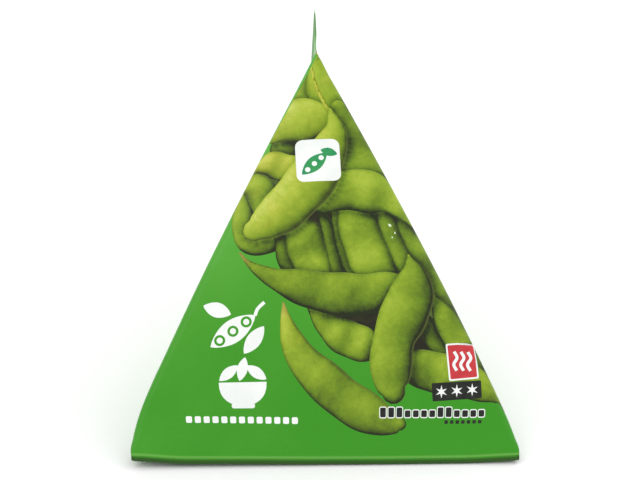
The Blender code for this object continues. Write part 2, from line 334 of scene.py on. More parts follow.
class PrintedPod:
    """One pod of the picture, in millimetres on the web."""

    def __init__(self, name, beans, tone, points):
        self.name, self.beans, self.tone = name, beans, tone
        self.stem_shows = points[0][2] < 1  # a spine that starts as a thread starts with its stalk
        run = smooth_run(points)
        self.spine = run[:, :2]
        steps = np.diff(self.spine, axis=0)
        lengths = np.hypot(steps[:, 0], steps[:, 1])
        self.along = np.concatenate([[0], np.cumsum(lengths)])
        self.length = self.along[-1]
        swelling = 1 + BEAN_SWELL * self.bean_wave(self.along / self.length)
        self.half = np.maximum(run[:, 2] / 2 * swelling, LEAST_HALF)
        self.heading, self.side = ways_along(self.spine)
        self.outline = self.make_outline()

    def bean_wave(self, share):
        """1 at the middle of each bean, and -1 between two beans and at the ends."""
        return -np.cos(2 * np.pi * self.beans * share)

    def make_outline(self):
        left = self.spine + self.side * self.half[:, None]
        right = self.spine - self.side * self.half[:, None]
        turn = np.linspace(0, np.pi, 7)[1:-1, None]
        start = self.spine[0] + self.half[0] * (-self.side[0] * np.cos(turn) - self.heading[0] * np.sin(turn))
        end = self.spine[-1] + self.half[-1] * (self.side[-1] * np.cos(turn) + self.heading[-1] * np.sin(turn))
        ring = np.vstack([left, end, right[::-1], start])
        kept = [ring[0]]
        for point in ring[1:]:
            if np.hypot(*(point - kept[-1])) > OUTLINE_STEP:
                kept.append(point)
        return np.array(kept)

    def place(self, points):
        """Each point's place along and across the pod, and the pod's half width and directions there."""
        steps = np.diff(self.spine, axis=0)
        squares = (steps**2).sum(1)
        offset = points[:, None] - self.spine[None, :-1]
        share = np.clip((offset * steps).sum(2) / squares, 0, 1)
        gap = offset - share[..., None] * steps
        distance = np.sqrt((gap**2).sum(2))
        nearest = distance.argmin(1)
        rows = np.arange(len(points))
        position = nearest + share[rows, nearest]
        half = np.interp(position, np.arange(len(self.half)), self.half)
        along = np.interp(position, np.arange(len(self.along)), self.along)
        gap = gap[rows, nearest]
        side = np.sign((gap * self.side[nearest]).sum(1))
        across = side * np.minimum(distance[rows, nearest] / half, 1)
        return along, across, half, self.side[nearest], unit(gap)


pods = [PrintedPod(name, *facts) for name, facts in PODS.items()]
print("outline points:", sum(len(pod.outline) for pod in pods))

# %% [markdown]
# ## The flat marks
# The marks over the picture are plain pictograms and rules with no lettering: a badge with a pod, a sprig
# and a bowl where a name would stand, a red tag with wisps of steam, a dark bar with frost stars, rows of
# dashes, and a ruled blank panel on each side face.

# %% Shapes for the marks
def turned(shape, centre, degrees):
    angle = math.radians(degrees)
    spin = np.array([[math.cos(angle), math.sin(angle)], [-math.sin(angle), math.cos(angle)]])
    return np.array(shape, float) @ spin + np.array(centre, float)


def rounded_box(centre, width, height, radius, degrees=0):
    angles = np.radians(np.arange(0, 360, 90)[:, None] + np.linspace(0, 90, 5)[None]).ravel()
    corners = np.repeat([(1, 1), (-1, 1), (-1, -1), (1, -1)], 5, axis=0)
    middle = corners * [width / 2 - radius, height / 2 - radius]
    return turned(middle + radius * np.stack([np.cos(angles), np.sin(angles)], 1), centre, degrees)


def disc(centre, radius, sides=20):
    angles = np.linspace(0, 2 * np.pi, sides, endpoint=False)
    return np.stack([np.cos(angles), np.sin(angles)], 1) * radius + np.array(centre, float)


def leaf(centre, length, width, degrees=0):
    """A pointed oval."""
    run = np.linspace(-1, 1, 15)
    bulge = width / 2 * np.cos(np.pi * run / 2) ** 0.8
    ring = np.vstack([np.stack([run * length / 2, bulge], 1), np.stack([run * length / 2, -bulge], 1)[-2:0:-1]])
    return turned(ring, centre, degrees)


def star(centre, radius, arms=6, thin=0.34):
    angles = np.arange(2 * arms) * np.pi / arms + np.pi / 2
    radii = np.where(np.arange(2 * arms) % 2, radius * thin, radius)
    return np.stack([np.cos(angles), np.sin(angles)], 1) * radii[:, None] + np.array(centre, float)


def ribbon(points, width):
    """A band of one width along a smooth curve."""
    run = smooth_run(points, 5)
    side = ways_along(run)[1] * width / 2
    return np.vstack([run + side, (run - side)[::-1]])


# %% The marks, from the lowest to the highest
GROUND, POD_INK, HEAP_INK, GAP_INK, WHITE_INK, RED_INK, DARK_INK, LEAF_INK, PANEL_INK, RULE_INK = range(10)
marks = []
LEFT_EDGE = [  # plain film beside the fold near the apex
    (-1.0, 152.6), (-13.5, 130), (-21, 115), (-27, 103), (-25.8, 103), (-19, 115), (-10.8, 130), (0.3, 151.2),
]
BADGE, BOWL, RED_TAG, DARK_BAR = (-0.3, 109), (-28.6, 28.5), (50.7, 36.2), (48.8, 25.6)  # the marks' middles
BEANS = ((-36.4, 43.9), (-31.6, 47.0), (-26.8, 50.1))  # of the sprig's pod


def mark(ink, *shapes):
    marks.extend((ink, shape) for shape in shapes)


# Glints on one pod, the plain edge, and the badge
mark(PANEL_INK, leaf((24.8, 85.2), 1.5, 0.9, -40), leaf((26.6, 82.4), 1.0, 0.5, -70), disc((25.6, 80.6), 0.3, 8))
mark(GROUND, np.array(LEFT_EDGE))
mark(WHITE_INK, rounded_box(BADGE, 15.7, 16.4, 2.6, 2))
mark(LEAF_INK, leaf((-1.6, 107.6), 12.2, 5.4, 43), leaf((3.6, 112.2), 6.2, 3.2, -15))
mark(WHITE_INK, *(disc((x, y), 0.95) for x, y in ((-4.0, 105.3), (-1.6, 107.6), (0.8, 109.9))))

# The sprig and the bowl
mark(WHITE_INK, leaf((-31.6, 47.0), 19.5, 8.2, 33), leaf((-24.2, 43.6), 12.0, 5.2, 52))
mark(WHITE_INK, ribbon([(-23.6, 52.2), (-22.6, 54.6), (-20.2, 56.8)], 1.2), leaf((-37.0, 55.0), 10.5, 5.4, -22))
mark(GROUND, *(disc(bean, 2.0) for bean in BEANS))
mark(WHITE_INK, *(disc(bean, 1.1) for bean in BEANS))
bowl_rim = np.linspace(0, np.pi, 17)
bowl = np.stack([8.6 * np.cos(bowl_rim), -8.4 * np.sin(bowl_rim) ** 0.8], 1) + [BOWL[0], BOWL[1] + 0.4]
mark(WHITE_INK, bowl, rounded_box((BOWL[0], 20.6), 8.4, 1.8, 0.8))
for shift, rise, turn in ((-5, 0.6, 38), (0, 1.9, 75), (5, 0.6, -35)):
    mark(WHITE_INK, leaf((BOWL[0] + shift, 31.6 + rise), 8.6, 3.8, turn))
mark(WHITE_INK, *(rounded_box((-48.5 + 3.2 * step, 15.9 - 0.055 * step), 2.2, 2.4, 0.5) for step in range(13)))

# The tag, the bar and the dark dashes
mark(WHITE_INK, rounded_box(RED_TAG, 10.9, 13.4, 0.6, 6))
mark(RED_INK, rounded_box(RED_TAG, 9.7, 12.2, 0.4, 6))
for shift in (-2.5, 0, 2.5):
    bends = ((0.5, -3.4), (-0.6, -1.2), (0.6, 1.2), (-0.5, 3.4))
    mark(WHITE_INK, ribbon([(RED_TAG[0] + shift + sway, RED_TAG[1] + rise) for sway, rise in bends], 1.1))
mark(DARK_INK, rounded_box(DARK_BAR, 18.0, 6.4, 0.3, 4))
mark(WHITE_INK, *(star((DARK_BAR[0] + shift, DARK_BAR[1] + 0.07 * shift), 2.3) for shift in (-5.6, 0, 5.6)))
for step in range(13):
    tall = 3.4 if step < 3 or 7 <= step < 9 else 2.4
    place = (22.0 + 3.0 * step, 16.3 + tall / 2)
    mark(WHITE_INK, rounded_box(place, 2.7, tall + 0.7, 0.7))
    mark(DARK_INK, rounded_box(place, 2.1, tall, 0.45))
mark(DARK_INK, *(rounded_box((45.2 + 2.05 * step, 14.5), 1.3, 1.3, 0.3) for step in range(7)))

# The ruled panels of the side faces
BASE_SLOPE = math.degrees(math.atan2(PANEL, SEAL / 2))  # of the base edge, on the flat web
for hand in (-1, 1):
    centre, slope = (hand * 76, 110), hand * BASE_SLOPE
    mark(PANEL_INK, rounded_box(centre, 44, 30, 2.5, slope))
    for row in range(6):
        rise = math.radians(slope + 90 * hand)
        step = (row - 2.5) * 4.2
        spot = (centre[0] + step * math.cos(rise), centre[1] + step * math.sin(rise))
        mark(RULE_INK, rounded_box(spot, 38 - 5 * (row == 5), 0.7, 0.3, slope))
print(len(marks), "flat marks")

# %% [markdown]
# ## One mesh for the film and its print
# Every outline becomes an edge of the mesh, so that each print edge stays crisp and no image is needed. A
# constrained Delaunay triangulation joins the outlines to a grid of points, which is finer in the printed
# face, the front fold and the crimped ends. Both cut ends are toothed, as a packing machine leaves them.

# %% Points of the web
HALF_WEB, PANEL_MM, BAND_MM = SEAL * 1000, PANEL * 1000, BAND * 1000
CRIMP_START = 9.0  # millimetres beyond the seal line where the crimp starts
COARSE, FINE = 1.5, 0.75  # millimetres between the grid's points, outside the print and in it
PRINT_MARGIN = 8  # millimetres of fine grid past the printed face
CLEAR_OF_OUTLINES = 0.34  # millimetres


def grid(columns, rows):
    across, up = np.meshgrid(columns, rows)
    return np.stack([across.ravel(), up.ravel()], 1)


def in_print(points, margin):
    """Whether points lie on the printed face, or within a margin of it."""
    reach = HALF_WEB / 2 * (1 - points[:, 1] / PANEL_MM) + margin
    return (points[:, 1] > 0.5) & (points[:, 1] < PANEL_MM - 0.4) & (np.abs(points[:, 0]) < reach)


cut_run = np.arange(-200, 201) * FINE
cut_depth = 1000 * tooth(cut_run / 1000)
front_cut = np.stack([cut_run, cut_depth - BAND_MM], 1)
back_cut = np.stack([cut_run, PANEL_MM + BAND_MM - cut_depth], 1)[::-1]
joint = np.arange(-19, 173, COARSE)
edge_up = np.stack([np.full(len(joint), HALF_WEB), joint], 1)
edge_down = np.stack([np.full(len(joint), -HALF_WEB), joint], 1)[::-1]
web_edge = np.vstack([front_cut, edge_up, back_cut, edge_down])

columns = np.arange(-99, 100) * COARSE
fine_columns = np.arange(-110, 111) * FINE
crimp_rows = np.arange(CRIMP_START, BAND_MM - 0.99, 0.25)
plain_rows = np.arange(4.0, CRIMP_START - 0.2, 1.0)
bend_rows = np.arange(0.35, 3.7, 0.35)
open_grid = grid(columns, np.arange(0, 103) * COARSE)
fine_grid = grid(fine_columns, np.arange(1, 204) * FINE)
points = np.vstack([
    grid(columns, -crimp_rows), grid(columns, PANEL_MM + crimp_rows),
    grid(columns, -plain_rows), grid(columns, PANEL_MM + plain_rows),
    grid(columns, -bend_rows), grid(columns, PANEL_MM + np.arange(1.0, 4.0)),
    open_grid[~in_print(open_grid, PRINT_MARGIN)], fine_grid[in_print(fine_grid, PRINT_MARGIN)],
])
print(len(points), "grid points")

# %% The outlines, and the triangles between them
shapes = [(HEAP_INK, smooth_run(HEAP + HEAP[:1], 3)[:-1])]
shapes += [(GAP_INK, smooth_run(gap + gap[:1], 4)[:-1]) for gap in DEEP_GAPS]
POD_FIRST = 1 + len(shapes)  # ring 0 is the web's own edge
shapes += [(POD_INK, pod.outline) for pod in pods]
shapes += marks


def anticlockwise(ring):
    """The triangulation fills the left side of a ring, so each ring has to turn to the left."""
    area = (ring[:, 0] * np.roll(ring[:, 1], -1) - ring[:, 1] * np.roll(ring[:, 0], -1)).sum()
    return ring if area > 0 else ring[::-1]


shapes = [(kind, anticlockwise(shape)) for kind, shape in shapes]
outlines = np.vstack([shape for _, shape in shapes])


def far_enough(points, outlines, gap):
    kept = []
    for part in np.array_split(points, 60):
        near = outlines[(outlines[:, 1] > part[:, 1].min() - gap) & (outlines[:, 1] < part[:, 1].max() + gap)]
        if len(near):
            part = part[nearest_gap(part, near) > gap]
        kept.append(part)
    return np.vstack(kept)


points = far_enough(points[np.argsort(points[:, 1], kind="stable")], outlines, CLEAR_OF_OUTLINES)
rings = [web_edge] + [shape for _, shape in shapes]
corners = np.vstack([points] + rings)
polygons, first = [], len(points)
for ring in rings:
    polygons.append(list(range(first, first + len(ring))))
    first += len(ring)
placed, _, triangles, _, _, owners = delaunay_2d_cdt(
    [Vector(corner) for corner in corners], [], polygons, 0, 1e-6, True
)
web = np.array([tuple(corner) for corner in placed])
kept = [(tri, max(owner)) for tri, owner in zip(triangles, owners) if 0 in owner]
triangles = np.array([tri for tri, _ in kept])
owner = np.array([top for _, top in kept])
ink = np.array([GROUND] + [kind for kind, _ in shapes])[owner]
print(len(web), "points and", len(triangles), "triangles in the web")

# %% [markdown]
# ## Light and shade inside the picture
# The printed pods look round because the print is shaded. Each pod is a low cushion with a bump at each
# bean, lit from the upper left, and darkened where the pod above it lies close. The numbers are stored on
# the corners of the triangles, since two pods that meet share their edge points.

# %% Shading numbers for each printed corner
PRINT_LIGHT = unit(np.array([-0.46, 0.50, 0.73]))
SHADE_SHIFT = np.array([0.5, -0.7])  # millimetres: contact shade falls to the lower right
SHADE_REACH, GLOW_REACH = 1.7, 22  # millimetres
CUSHION, BEAN_HEIGHT = 0.62, 0.10  # steepness of a pod's cushion, and its share for the beans
STEM_OFF = 50  # millimetres added along a pod whose stalk doesn't show
corner_place = np.zeros((len(triangles), 3, 3), np.float32)
corner_light = np.zeros((len(triangles), 3, 3), np.float32)


def contact_shade(points, above):
    """1 where an overlying outline is at the point, fading away from it."""
    if not above:
        return np.zeros(len(points))
    edges = np.vstack(above) + SHADE_SHIFT
    parts = np.array_split(points, max(1, len(points) // 400))
    distance = np.concatenate([nearest_gap(part, edges) for part in parts])
    return np.exp(-((distance / SHADE_REACH) ** 1.3))


for number, pod in enumerate(pods):
    mine = np.flatnonzero(owner == POD_FIRST + number)
    used, back = np.unique(triangles[mine], return_inverse=True)
    spots = web[used]
    along, across, half, side, away = pod.place(spots)
    share = along / pod.length
    bean = 1 - BEAN_HEIGHT + BEAN_HEIGHT * pod.bean_wave(share)
    dome = np.sqrt(np.maximum(1 - across**2, 0.02))
    slope_side = -CUSHION * bean * np.abs(across) / dome
    bean_turns = 2 * np.pi * pod.beans
    slope_along = -CUSHION * half * dome * BEAN_HEIGHT * bean_turns / pod.length * np.sin(bean_turns * share)
    heading = np.stack([side[:, 1], -side[:, 0]], 1)
    slope = away * slope_side[:, None] - heading * slope_along[:, None]
    normal = unit(np.stack([-slope[:, 0], -slope[:, 1], np.ones(len(slope))], 1))
    lit = np.clip(normal @ PRINT_LIGHT, 0, 1)
    above = [other.outline for other in pods[number + 1:] if other.half.max() > 2]
    shade = contact_shade(spots, above)
    start = 0 if pod.stem_shows else STEM_OFF
    glow = GLOW.get(pod.name, 0) * fading(along, GLOW_REACH)
    place = np.stack([along + start, across, np.full(len(along), number / len(pods))], 1)
    light = np.stack([lit, shade, pod.tone + glow], 1)
    corner_place[mine] = place[back].reshape(-1, 3, 3)
    corner_light[mine] = light[back].reshape(-1, 3, 3)
print(np.isin(ink, [HEAP_INK, GAP_INK]).sum(), "triangles show between the pods of the heap")

# %% [markdown]
# ## Small dents and pleats
# Film over a heap of pods is never a perfect plane. Small pleats start at each seal, where the tube is
# gathered, and the side faces carry broad shallow dents. The printed face stays almost flat.

# %% Dents along the film's normals
FRONT_BROAD, FRONT_PLEATS = 0.00010, 0.00012  # depths of the dents
SIDE_BROAD, SIDE_CREASES, SIDE_PLEATS = 0.00125, 0.00060, 0.00062
CALM_REACH, SEAL_CALM = 0.014, 0.006  # they die away towards a fold and a seal


def dents(s, v):
    """How far the film stands out, in metres."""
    t = np.clip(v / PANEL, 0, 1)
    run, front, side = np.abs(s), SEAL / 2 * (1 - t), SEAL / 2 * (1 + t)
    to_fold = np.minimum(np.abs(run - front), np.abs(run - side))
    calm = eased(to_fold, 0.001, CALM_REACH)
    calm = calm * eased(v, 0.0, SEAL_CALM) * eased(PANEL - v, 0.0, SEAL_CALM)
    broad = np.sin(s * 96 + 1.3) * np.sin(v * 71 + 0.4) + 0.6 * np.sin(s * 47 - v * 118 + 2.0)
    creased = 1 - 2 * np.abs(np.sin(s * 58 + v * 83 + 0.7 * np.sin(v * 60))) ** 0.7
    creased += 0.6 * (1 - 2 * np.abs(np.sin(s * 131 - v * 47 + 0.9 * np.sin(s * 70 + 1.1))) ** 0.6)
    pleats = np.cos(s * 590 + 1.7 * np.sin(s * 83)) * np.exp(-v / 0.011)
    pleats += np.cos(v * 330 + s * 260) * np.exp(-(PANEL - v) / 0.020)
    on_front = (run < front) * (FRONT_BROAD * broad + FRONT_PLEATS * pleats)
    side_dents = SIDE_BROAD * broad + SIDE_CREASES * creased + SIDE_PLEATS * pleats
    return calm * (on_front + ((run >= front) & (run < side)) * side_dents)


def outward(s, v, step=1e-4):
    """The film's outward normal."""
    inside = np.clip(v, step, PANEL - step)
    round_way = film_place(s + step, inside) - film_place(s - step, inside)
    up_way = film_place(s, inside + step) - film_place(s, inside - step)
    return unit(np.cross(round_way, up_way))


s, v = web[:, 0] / 1000, web[:, 1] / 1000
run_out = np.maximum(-v, v - PANEL)
film_spots = film_place(s, v)
on_body = run_out < 0
swell = np.where(on_body & (np.abs(s) < SEAL - 0.001), dents(s, v), 0)
film_spots += outward(s, v) * swell[:, None]
back_line = np.abs(s) > SEAL - 1e-6  # the web's two long edges meet here, under the back seam
film_spots[back_line] = (film_place(s, v)[back_line] + film_place(-s, v)[back_line]) / 2
film_spots[on_body, 2] = np.maximum(film_spots[on_body, 2], BASE_LIFT)
print("dents from", round(swell.min() * 1000, 2), "to", round(swell.max() * 1000, 2), "mm")

# %% The film's mesh
mesh = bpy.data.meshes.new("printed_pouch")
mesh.from_pydata(film_spots.tolist(), [], triangles.tolist())
mesh.polygons.foreach_set("material_index", ink.astype(np.int32))
flat = np.zeros((len(triangles), 3, 3), np.float32)
flat[..., :2] = web[triangles]
rib_way = np.zeros((len(web), 3), np.float32)
rib_way[v < 0] = (0, 0, 0.45)  # the tucked seal is thin, so its ribs are lower
rib_way[v > PANEL] = (1, 0, 0)
seal_run = np.maximum(run_out, 0).astype(np.float32)
for name, values in (
    ("pod_place", corner_place), ("pod_light", corner_light), ("web_place", flat),
    ("seal_run", seal_run), ("rib_way", rib_way),
):
    kind, field = ("FLOAT", "value") if values.ndim == 1 else ("FLOAT_VECTOR", "vector")
    where = "CORNER" if values.ndim == 3 else "POINT"
    mesh.attributes.new(name, kind, where).data.foreach_set(field, values.ravel())

# The bake map gives the printed half of the web most of the room
PRINT_SHARE, USED = 0.36, 0.99
share = np.interp(np.abs(flat[..., 0]), (0, HALF_WEB / 2, HALF_WEB), (0, PRINT_SHARE, 0.5))
across = 0.5 + np.sign(flat[..., 0]) * share * USED
up = (1 - USED) / 2 + USED * (flat[..., 1] + BAND_MM) / (PANEL_MM + 2 * BAND_MM)
bake_map = np.stack([across, up], -1).astype(np.float32)
mesh.uv_layers.new(name="OFBake").data.foreach_set("uv", bake_map.ravel())

# The layers are joined where they meet
JOINED = 2e-6
work = bmesh.new()
work.from_mesh(mesh)
bmesh.ops.remove_doubles(work, verts=work.verts, dist=JOINED)
bmesh.ops.dissolve_degenerate(work, dist=JOINED, edges=work.edges)
if work.calc_volume(signed=True) < 0:
    bmesh.ops.reverse_faces(work, faces=work.faces)
for face in work.faces:
    face.smooth = True
open_edges = sum(1 for edge in work.edges if len(edge.link_faces) != 2)
print("film volume", round(work.calc_volume() * 1e6, 1), "ml,", open_edges, "open edges")
work.to_mesh(mesh)
work.free()
film = added("printed_pouch", mesh)

# %% [markdown]
# ## Writing nodes as sums
# A finish is easier to read as a sum than as a page of nodes. A Reading wraps a node's socket, and each
# operator on it adds one Math node. The same kit serves the tree that presses the ribs.

# %% The node kit
class Reading:
    """A value that varies over a surface."""

    def __init__(self, kit, socket):
        self.kit, self.socket = kit, socket

    def clamped(self):
        return self.kit.maths("ADD", self, 0.0, clamp=True)

    def cosine(self):
        return self.kit.maths("COSINE", self)

    def between(self, low, high):
        """0 at low, 1 at high, with soft ends."""
        inputs = {"Value": self, "From Min": low, "From Max": high}
        return self.kit.node("ShaderNodeMapRange", {"interpolation_type": "SMOOTHSTEP"}, inputs)


def give_operator(name, operation):
    setattr(Reading, f"__{name}__", lambda self, other: self.kit.maths(operation, self, other))
    setattr(Reading, f"__r{name}__", lambda self, other: self.kit.maths(operation, other, self))


for name, operation in (("add", "ADD"), ("sub", "SUBTRACT"), ("mul", "MULTIPLY"), ("truediv", "DIVIDE")):
    give_operator(name, operation)


class NodeKit:
    """Adds nodes to a tree: settings first, then the values or links of their sockets."""

    def __init__(self, tree):
        self.tree = tree

    def set_socket(self, socket, value):
        if isinstance(value, Reading):
            self.tree.links.new(value.socket, socket)
        elif isinstance(value, (tuple, list)) and len(value) == 3 and socket.type == "RGBA":
            socket.default_value = (*value, 1)
        else:
            socket.default_value = value

    def node(self, kind, settings=None, inputs=None, output=0):
        made = self.tree.nodes.new(kind)
        for name, value in (settings or {}).items():
            setattr(made, name, value)
        for key, value in (inputs or {}).items():
            named = [socket for socket in made.inputs if key in (socket.identifier, socket.name)]
            self.set_socket(named[0] if named else made.inputs[key], value)
        return Reading(self, made.outputs[output])

    def all_outputs(self, kind, inputs=None):
        first = self.node(kind, inputs=inputs)
        return [Reading(self, output) for output in first.socket.node.outputs]

    def maths(self, operation, *values, clamp=False):
        return self.node("ShaderNodeMath", {"operation": operation, "use_clamp": clamp}, dict(enumerate(values)))


class Finish(NodeKit):
    """One material, and the nodes that make it."""

    def __init__(self, name):
        self.material = bpy.data.materials.new(name)
        self.material.use_nodes = True
        super().__init__(self.material.node_tree)
        self.shader = self.tree.nodes["Principled BSDF"]

    def attribute(self, name, output="Vector"):
        return self.node("ShaderNodeAttribute", {"attribute_name": name}, output=output)

    def parts(self, vector):
        return self.all_outputs("ShaderNodeSeparateXYZ", {"Vector": vector})

    def object_place(self):
        return self.node("ShaderNodeTexCoord", output="Object")

    def noise(self, place, scale, detail=3.0, roughness=0.5, distortion=0.0):
        inputs = {"Vector": place, "Scale": scale, "Detail": detail}
        inputs |= {"Roughness": roughness, "Distortion": distortion}
        return self.node("ShaderNodeTexNoise", inputs=inputs)

    def stretched(self, place, scale):
        return self.node("ShaderNodeVectorMath", {"operation": "MULTIPLY"}, {0: place, 1: scale})

    def mixed(self, share, first, second):
        inputs = {"Factor_Float": share, "A_Color": first, "B_Color": second}
        return self.node("ShaderNodeMix", {"data_type": "RGBA"}, inputs, output=2)

    def ramp(self, value, stops):
        made = self.node("ShaderNodeValToRGB", inputs={"Fac": value})
        elements = made.socket.node.color_ramp.elements
        while len(elements) < len(stops):
            elements.new(0.5)
        for element, (place, ink) in zip(elements, stops):
            element.position, element.color = place, (*ink, 1)
        return made

    def bumps(self, height, strength, distance):
        inputs = {"Height": height, "Strength": strength, "Distance": distance}
        return self.node("ShaderNodeBump", inputs=inputs)

    def surface(self, **values):
        for name, value in values.items():
            self.set_socket(self.shader.inputs[name.replace("_", " ")], value)
        return self.material


INK_STRENGTH = 0.92  # inks are a little deeper, as the white table lights them too


def colour(red, green, blue):
    """A screen colour of 0 to 255, as linear light."""
    screen = (red / 255, green / 255, blue / 255)
    return tuple(INK_STRENGTH * (((c + 0.055) / 1.055) ** 2.4 if c > 0.04 else c / 12.92) for c in screen)


# %% [markdown]
# ## Crimped seals
# Heated jaws press a row of fine ribs into both layers of each seal. The ribs repeat, so a small Geometry
# Nodes tree presses them: it moves each point by a wave of its distance from the seal line.

# %% A tree that presses ribs
RIB_PITCH, RIB_DEPTH, CRIMP_END = 0.0015, 0.00038, 0.0205


def crimp_tree(finish):
    tree = bpy.data.node_groups.new("crimped_seals", "GeometryNodeTree")
    face = tree.interface
    for way in ("INPUT", "OUTPUT"):
        face.new_socket("Geometry", in_out=way, socket_type="NodeSocketGeometry")
    sizes = (RIB_PITCH, RIB_DEPTH, CRIMP_START / 1000, CRIMP_END)
    for name, value in zip(("Rib pitch", "Rib depth", "Crimp start", "Crimp end"), sizes):
        face.new_socket(name, in_out="INPUT", socket_type="NodeSocketFloat").default_value = value
    kit = NodeKit(tree)
    whole, pitch, depth, start, end = kit.all_outputs("NodeGroupInput")[:5]
    run = kit.node("GeometryNodeInputNamedAttribute", {"data_type": "FLOAT"}, {"Name": "seal_run"})
    way = kit.node("GeometryNodeInputNamedAttribute", {"data_type": "FLOAT_VECTOR"}, {"Name": "rib_way"})
    rib = (1.0 - (run / pitch * (2 * math.pi)).cosine()) * 0.5
    inside = kit.maths("GREATER_THAN", run, start) * kit.maths("LESS_THAN", run, end)
    offset = kit.node("ShaderNodeVectorMath", {"operation": "SCALE"}, {0: way, "Scale": rib * inside * depth})
    pressed = kit.node("GeometryNodeSetPosition", inputs={"Geometry": whole, "Offset": offset})
    inputs = {"Geometry": pressed, "Selection": inside, "Material": finish}
    coated = kit.node("GeometryNodeSetMaterial", inputs=inputs)
    kit.set_socket(tree.nodes.new("NodeGroupOutput").inputs["Geometry"], coated)
    return tree


def made_plain(thing):
    """Applies the object's modifiers."""
    graph = bpy.context.evaluated_depsgraph_get()
    made = thing.evaluated_get(graph)
    plain = bpy.data.meshes.new_from_object(made, preserve_all_data_layers=True, depsgraph=graph)
    thing.modifiers.clear()
    thing.data = plain


# %% [markdown]
# ## The film's gloss
# All inks lie under the same clear film, so they share one satin gloss, with a slight orange peel and fine
# creases.

# %% A satin film over any ink
def film_surface(finish, ink, roughness=0.36):
    place = finish.object_place()
    peel = finish.noise(place, 900, 2)
    creases = finish.noise(finish.stretched(place, (1.0, 0.7, 1.3)), 46, 4, 0.55, 0.6)
    height = peel * 0.10 + creases * 0.9
    return finish.surface(
        Base_Color=ink,
        Roughness=(creases - 0.5) * 0.16 + roughness,
        Normal=finish.bumps(height, 0.30, 0.0012),
        Coat_Weight=0.04, Coat_Roughness=0.25, IOR=1.32,
    )


GROUND_STOPS = [(0.0, colour(54, 146, 20)), (0.5, colour(76, 161, 42)), (1.0, colour(108, 184, 74))]


def ground_finish():
    """Fresh green ink, paler towards the top of the web, with painted shade under the front crease and a painted
    highlight along it.
    """
    finish = Finish("green_ink")
    web_place = finish.attribute("web_place")
    across, up, _ = finish.parts(web_place)
    clouds = finish.noise(web_place, 0.035)
    grain = finish.noise(web_place, 1.6, 2, 0.6)
    level = up.between(10, 120) * 0.72 + (clouds - 0.5) * 0.5 + (grain - 0.5) * 0.10
    level = (level - across * 0.0012).clamped()
    ink = finish.ramp(level, GROUND_STOPS)
    # Painted shade: the film that turns under the front crease is darkened, as if in shadow
    ink = finish.mixed(1 - up.between(-0.9, 0.0), ink, colour(40, 84, 12))
    # Painted highlight: a pale line along the front crease, where the film folds under
    painted_crease_highlight = up.between(-0.3, 0.4) * (1 - up.between(0.4, 1.2)) * 0.35
    ink = finish.mixed(painted_crease_highlight, ink, colour(150, 200, 110))
    return film_surface(finish, ink)


# %% The finish of the printed pods
POD_STOPS = [
    (0.0, colour(28, 38, 4)), (0.22, colour(70, 94, 12)), (0.42, colour(108, 138, 22)),
    (0.60, colour(139, 166, 36)), (0.78, colour(168, 190, 58)), (1.0, colour(214, 222, 116)),
]
RIPE_STOPS = [(0.0, colour(46, 50, 6)), (0.5, colour(140, 148, 18)), (1.0, colour(214, 208, 80))]


def pod_ink_finish():
    """Green that follows the picture's light and shade, yellower where a pod is pale."""
    finish = Finish("pod_print")
    web_place, pod_place = finish.attribute("web_place"), finish.attribute("pod_place")
    along, across, _ = finish.parts(pod_place)
    lit, shade, tone = finish.parts(finish.attribute("pod_light"))
    mottle = finish.noise(web_place, 0.22, 4, 0.6, 0.4)
    veins = finish.noise(finish.stretched(pod_place, (0.55, 2.6, 40.0)), 1.0, 3, 0.6, 0.8)
    down = finish.noise(web_place, 2.4, 2, 0.65)
    rim = finish.maths("ABSOLUTE", across).between(0.72, 1.0)
    level = 0.17 + tone * 0.60 + (lit - 0.68) * 0.80
    level = level + (mottle - 0.5) * 0.30 + (veins - 0.5) * 0.18 + (down - 0.5) * 0.17
    level = (level - rim * 0.04 - shade * 0.42).clamped()
    ripe = finish.noise(web_place, 0.09, 2).between(0.42, 0.72)
    yellowed = (ripe * 0.35 + (tone - 0.72) * 1.6).clamped()
    ink = finish.mixed(yellowed, finish.ramp(level, POD_STOPS), finish.ramp(level, RIPE_STOPS))
    thin_edge = across.between(0.90, 0.98) * (1 - shade) * 0.15
    ink = finish.mixed(thin_edge, ink, colour(176, 190, 84))
    stem = 1 - along.between(1.0, 7.0)
    ink = finish.mixed(stem * 0.7, ink, colour(170, 146, 72))
    return film_surface(finish, ink)


# %% Plain inks for the gaps and the marks
def plain_ink(name, base, other, scale):
    """An ink with the slight unevenness of a printed solid."""
    finish = Finish(name)
    web_place = finish.attribute("web_place")
    patches = finish.noise(web_place, scale, 3, 0.6)
    specks = finish.noise(web_place, 2.8, 2, 0.6)
    share = (patches + (specks - 0.5) * 0.3).between(0.3, 0.75)
    return film_surface(finish, finish.mixed(share, colour(*base), colour(*other)))


def crimp_finish():
    """The pressed seals, paler on the ribs' tops."""
    finish = Finish("crimped_film")
    run = finish.attribute("seal_run", "Fac")
    ribs = 0.5 - 0.5 * (run * (2 * math.pi / RIB_PITCH)).cosine()
    worn = finish.noise(finish.object_place(), 240, 3, 0.6)
    share = (ribs * 0.65 + worn * 0.5 - 0.15).clamped()
    ink = finish.mixed(share, colour(84, 146, 70), colour(158, 196, 140))
    return film_surface(finish, ink, roughness=0.42)


